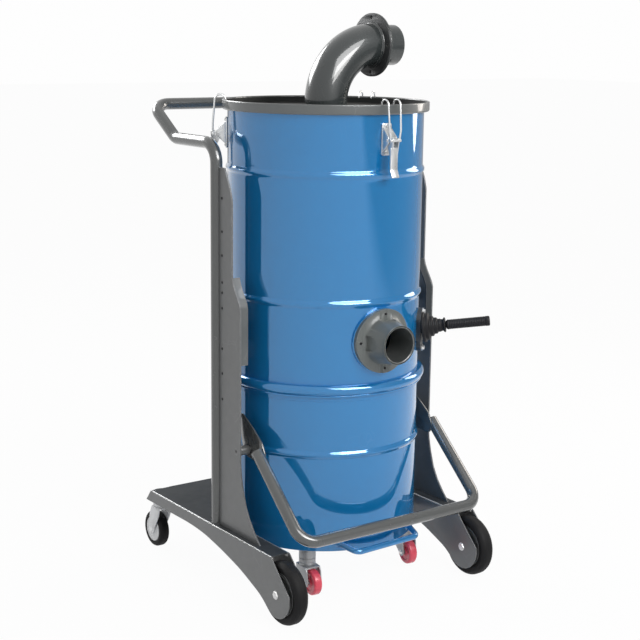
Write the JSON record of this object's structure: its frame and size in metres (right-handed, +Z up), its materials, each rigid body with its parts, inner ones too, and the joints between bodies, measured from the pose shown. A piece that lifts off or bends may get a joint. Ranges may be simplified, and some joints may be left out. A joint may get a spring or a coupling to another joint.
{
  "type": "mobile dust pre-separator",
  "caption": "Upright cyclone dust pre-separator on a wheeled trolley, with lid and outlet bend, side inlet, flap lever, lid latches and a lever-lowered container on casters.",
  "frame": {"origin": "on the floor, under the middle of the bounding box", "axes": "+Z up; -Y is the front, the side of the inlet; +X is where the outlet spigot points"},
  "size_m": [0.604, 0.712, 1.35],
  "materials": {
    "blue_paint": "gloss",
    "dark_paint": "gloss",
    "dark_metal": "gloss",
    "grey_paint": "satin",
    "zinc": "satin",
    "pale_metal": "satin",
    "tyre_black": "matte",
    "black_rubber": "matte",
    "red_plastic": "gloss"
  },
  "bodies": {
    "trolley": {"chamber": "blue_paint", "hopper": "blue_paint", "lid": "dark_paint", "elbow": "dark_metal", "spigot": "dark_metal", "inlet_pad": "blue_paint", "inlet_socket": "dark_metal", "leg_left": "grey_paint", "leg_right": "grey_paint", "axle_left": "zinc", "axle_right": "zinc", "platform": "grey_paint", "upright_left": "grey_paint", "upright_right": "grey_paint", "push_handle": "grey_paint", "chamber_mounts": "grey_paint", "lift_pins": "grey_paint", "latch_bases": "zinc", "flap_plate": "zinc", "flap_boot": "black_rubber"},
    "container": {"container": "blue_paint", "container_base": "blue_paint", "container_handle": "blue_paint"},
    "lift_lever": {"lift_lever": "grey_paint"},
    "flap_lever": {"flap_lever": "black_rubber"},
    "front_wheel_left": {"tyre_left": "tyre_black"},
    "front_wheel_right": {"tyre_right": "tyre_black"},
    "rear_fork_left": {"rear_fork_left": "pale_metal"},
    "rear_fork_right": {"rear_fork_right": "pale_metal"},
    "rear_wheel_left": {"rear_wheel_left": "tyre_black"},
    "rear_wheel_right": {"rear_wheel_right": "tyre_black"},
    "stem_1": {"stem_1": "zinc"},
    "roller_1": {"roller_1": "red_plastic"},
    "stem_2": {"stem_2": "zinc"},
    "roller_2": {"roller_2": "red_plastic"},
    "stem_3": {"stem_3": "zinc"},
    "roller_3": {"roller_3": "red_plastic"},
    "stem_4": {"stem_4": "zinc"},
    "roller_4": {"roller_4": "red_plastic"},
    "latch_lever_1": {"latch_lever_1": "zinc"},
    "latch_bail_1": {"latch_bail_1": "zinc"},
    "latch_lever_2": {"latch_lever_2": "zinc"},
    "latch_bail_2": {"latch_bail_2": "zinc"},
    "latch_lever_3": {"latch_lever_3": "zinc"},
    "latch_bail_3": {"latch_bail_3": "zinc"}
  },
  "joints": [
    {"name": "front_wheel_left_spin", "type": "hinge", "parent": "trolley", "child": "front_wheel_left", "pos_m": [-0.273, -0.283, 0.073], "axis": [1, 0, 0], "continuous": true},
    {"name": "rear_caster_left_swivel", "type": "hinge", "parent": "trolley", "child": "rear_fork_left", "pos_m": [-0.273, 0.284, 0.11], "axis": [0, 0, 1], "continuous": true},
    {"name": "rear_wheel_left_spin", "type": "hinge", "parent": "rear_fork_left", "child": "rear_wheel_left", "pos_m": [-0.273, 0.31, 0.046], "axis": [1, 0, 0], "continuous": true},
    {"name": "front_wheel_right_spin", "type": "hinge", "parent": "trolley", "child": "front_wheel_right", "pos_m": [0.273, -0.283, 0.073], "axis": [1, 0, 0], "continuous": true},
    {"name": "rear_caster_right_swivel", "type": "hinge", "parent": "trolley", "child": "rear_fork_right", "pos_m": [0.273, 0.284, 0.11], "axis": [0, 0, 1], "continuous": true},
    {"name": "rear_wheel_right_spin", "type": "hinge", "parent": "rear_fork_right", "child": "rear_wheel_right", "pos_m": [0.273, 0.31, 0.046], "axis": [1, 0, 0], "continuous": true},
    {"name": "lift_lever_swing", "type": "hinge", "parent": "trolley", "child": "lift_lever", "pos_m": [0, -0.09, 0.354], "axis": [-1, 0, 0], "range_deg": [0, 60]},
    {"name": "container_lower", "type": "slide", "parent": "trolley", "child": "container", "axis": [0, 0, 1], "range_m": [-0.014, 0]},
    {"name": "container_caster_1_swivel", "type": "hinge", "parent": "container", "child": "stem_1", "pos_m": [-0.14241, 0.11346, 0.09], "axis": [0, 0, 1], "continuous": true},
    {"name": "container_caster_1_spin", "type": "hinge", "parent": "stem_1", "child": "roller_1", "pos_m": [-0.13317, 0.08809, 0.0445], "axis": [0.9397, 0.342, 0], "continuous": true},
    {"name": "container_caster_2_swivel", "type": "hinge", "parent": "container", "child": "stem_2", "pos_m": [-0.14241, -0.18146, 0.09], "axis": [0, 0, 1], "continuous": true},
    {"name": "container_caster_2_spin", "type": "hinge", "parent": "stem_2", "child": "roller_2", "pos_m": [-0.14523, -0.20832, 0.0445], "axis": [0.9945, -0.1045, 0], "continuous": true},
    {"name": "container_caster_3_swivel", "type": "hinge", "parent": "container", "child": "stem_3", "pos_m": [0.16995, -0.14863, 0.09], "axis": [0, 0, 1], "continuous": true},
    {"name": "container_caster_3_spin", "type": "hinge", "parent": "stem_3", "child": "roller_3", "pos_m": [0.1662, -0.17537, 0.0445], "axis": [0.9903, -0.1392, 0], "continuous": true},
    {"name": "container_caster_4_swivel", "type": "hinge", "parent": "container", "child": "stem_4", "pos_m": [0.16995, 0.08063, 0.09], "axis": [0, 0, 1], "continuous": true},
    {"name": "container_caster_4_spin", "type": "hinge", "parent": "stem_4", "child": "roller_4", "pos_m": [0.16296, 0.05455, 0.0445], "axis": [0.9659, -0.2588, 0], "continuous": true},
    {"name": "latch_1_open", "type": "hinge", "parent": "trolley", "child": "latch_lever_1", "pos_m": [0, -0.284, 1.072], "axis": [-1, 0, 0], "range_deg": [0, 50]},
    {"name": "latch_1_bail", "type": "hinge", "parent": "latch_lever_1", "child": "latch_bail_1", "pos_m": [0, -0.298, 1.072], "axis": [-1, 0, 0], "range_deg": [-51, 0]},
    {"name": "latch_2_open", "type": "hinge", "parent": "trolley", "child": "latch_lever_2", "pos_m": [0.21651, 0.091, 1.072], "axis": [0.5, -0.866, 0], "range_deg": [0, 50]},
    {"name": "latch_2_bail", "type": "hinge", "parent": "latch_lever_2", "child": "latch_bail_2", "pos_m": [0.22863, 0.098, 1.072], "axis": [0.5, -0.866, 0], "range_deg": [-51, 0]},
    {"name": "latch_3_open", "type": "hinge", "parent": "trolley", "child": "latch_lever_3", "pos_m": [-0.21651, 0.091, 1.072], "axis": [0.5, 0.866, 0], "range_deg": [0, 50]},
    {"name": "latch_3_bail", "type": "hinge", "parent": "latch_lever_3", "child": "latch_bail_3", "pos_m": [-0.22863, 0.098, 1.072], "axis": [0.5, 0.866, 0], "range_deg": [-51, 0]},
    {"name": "flap_lever_swing", "type": "hinge", "parent": "trolley", "child": "flap_lever", "pos_m": [0.16582, -0.19982, 0.618], "axis": [-0.7071, -0.7071, 0], "range_deg": [-16, 6], "deforming": ["flap_boot"]}
  ],
  "couplings": [
    {"joint": "container_lower", "follows": "lift_lever_swing", "m_per_rad": -0.01336},
    {"joint": "latch_1_bail", "follows": "latch_1_open", "ratio": -1},
    {"joint": "latch_2_bail", "follows": "latch_2_open", "ratio": -1},
    {"joint": "latch_3_bail", "follows": "latch_3_open", "ratio": -1}
  ]
}
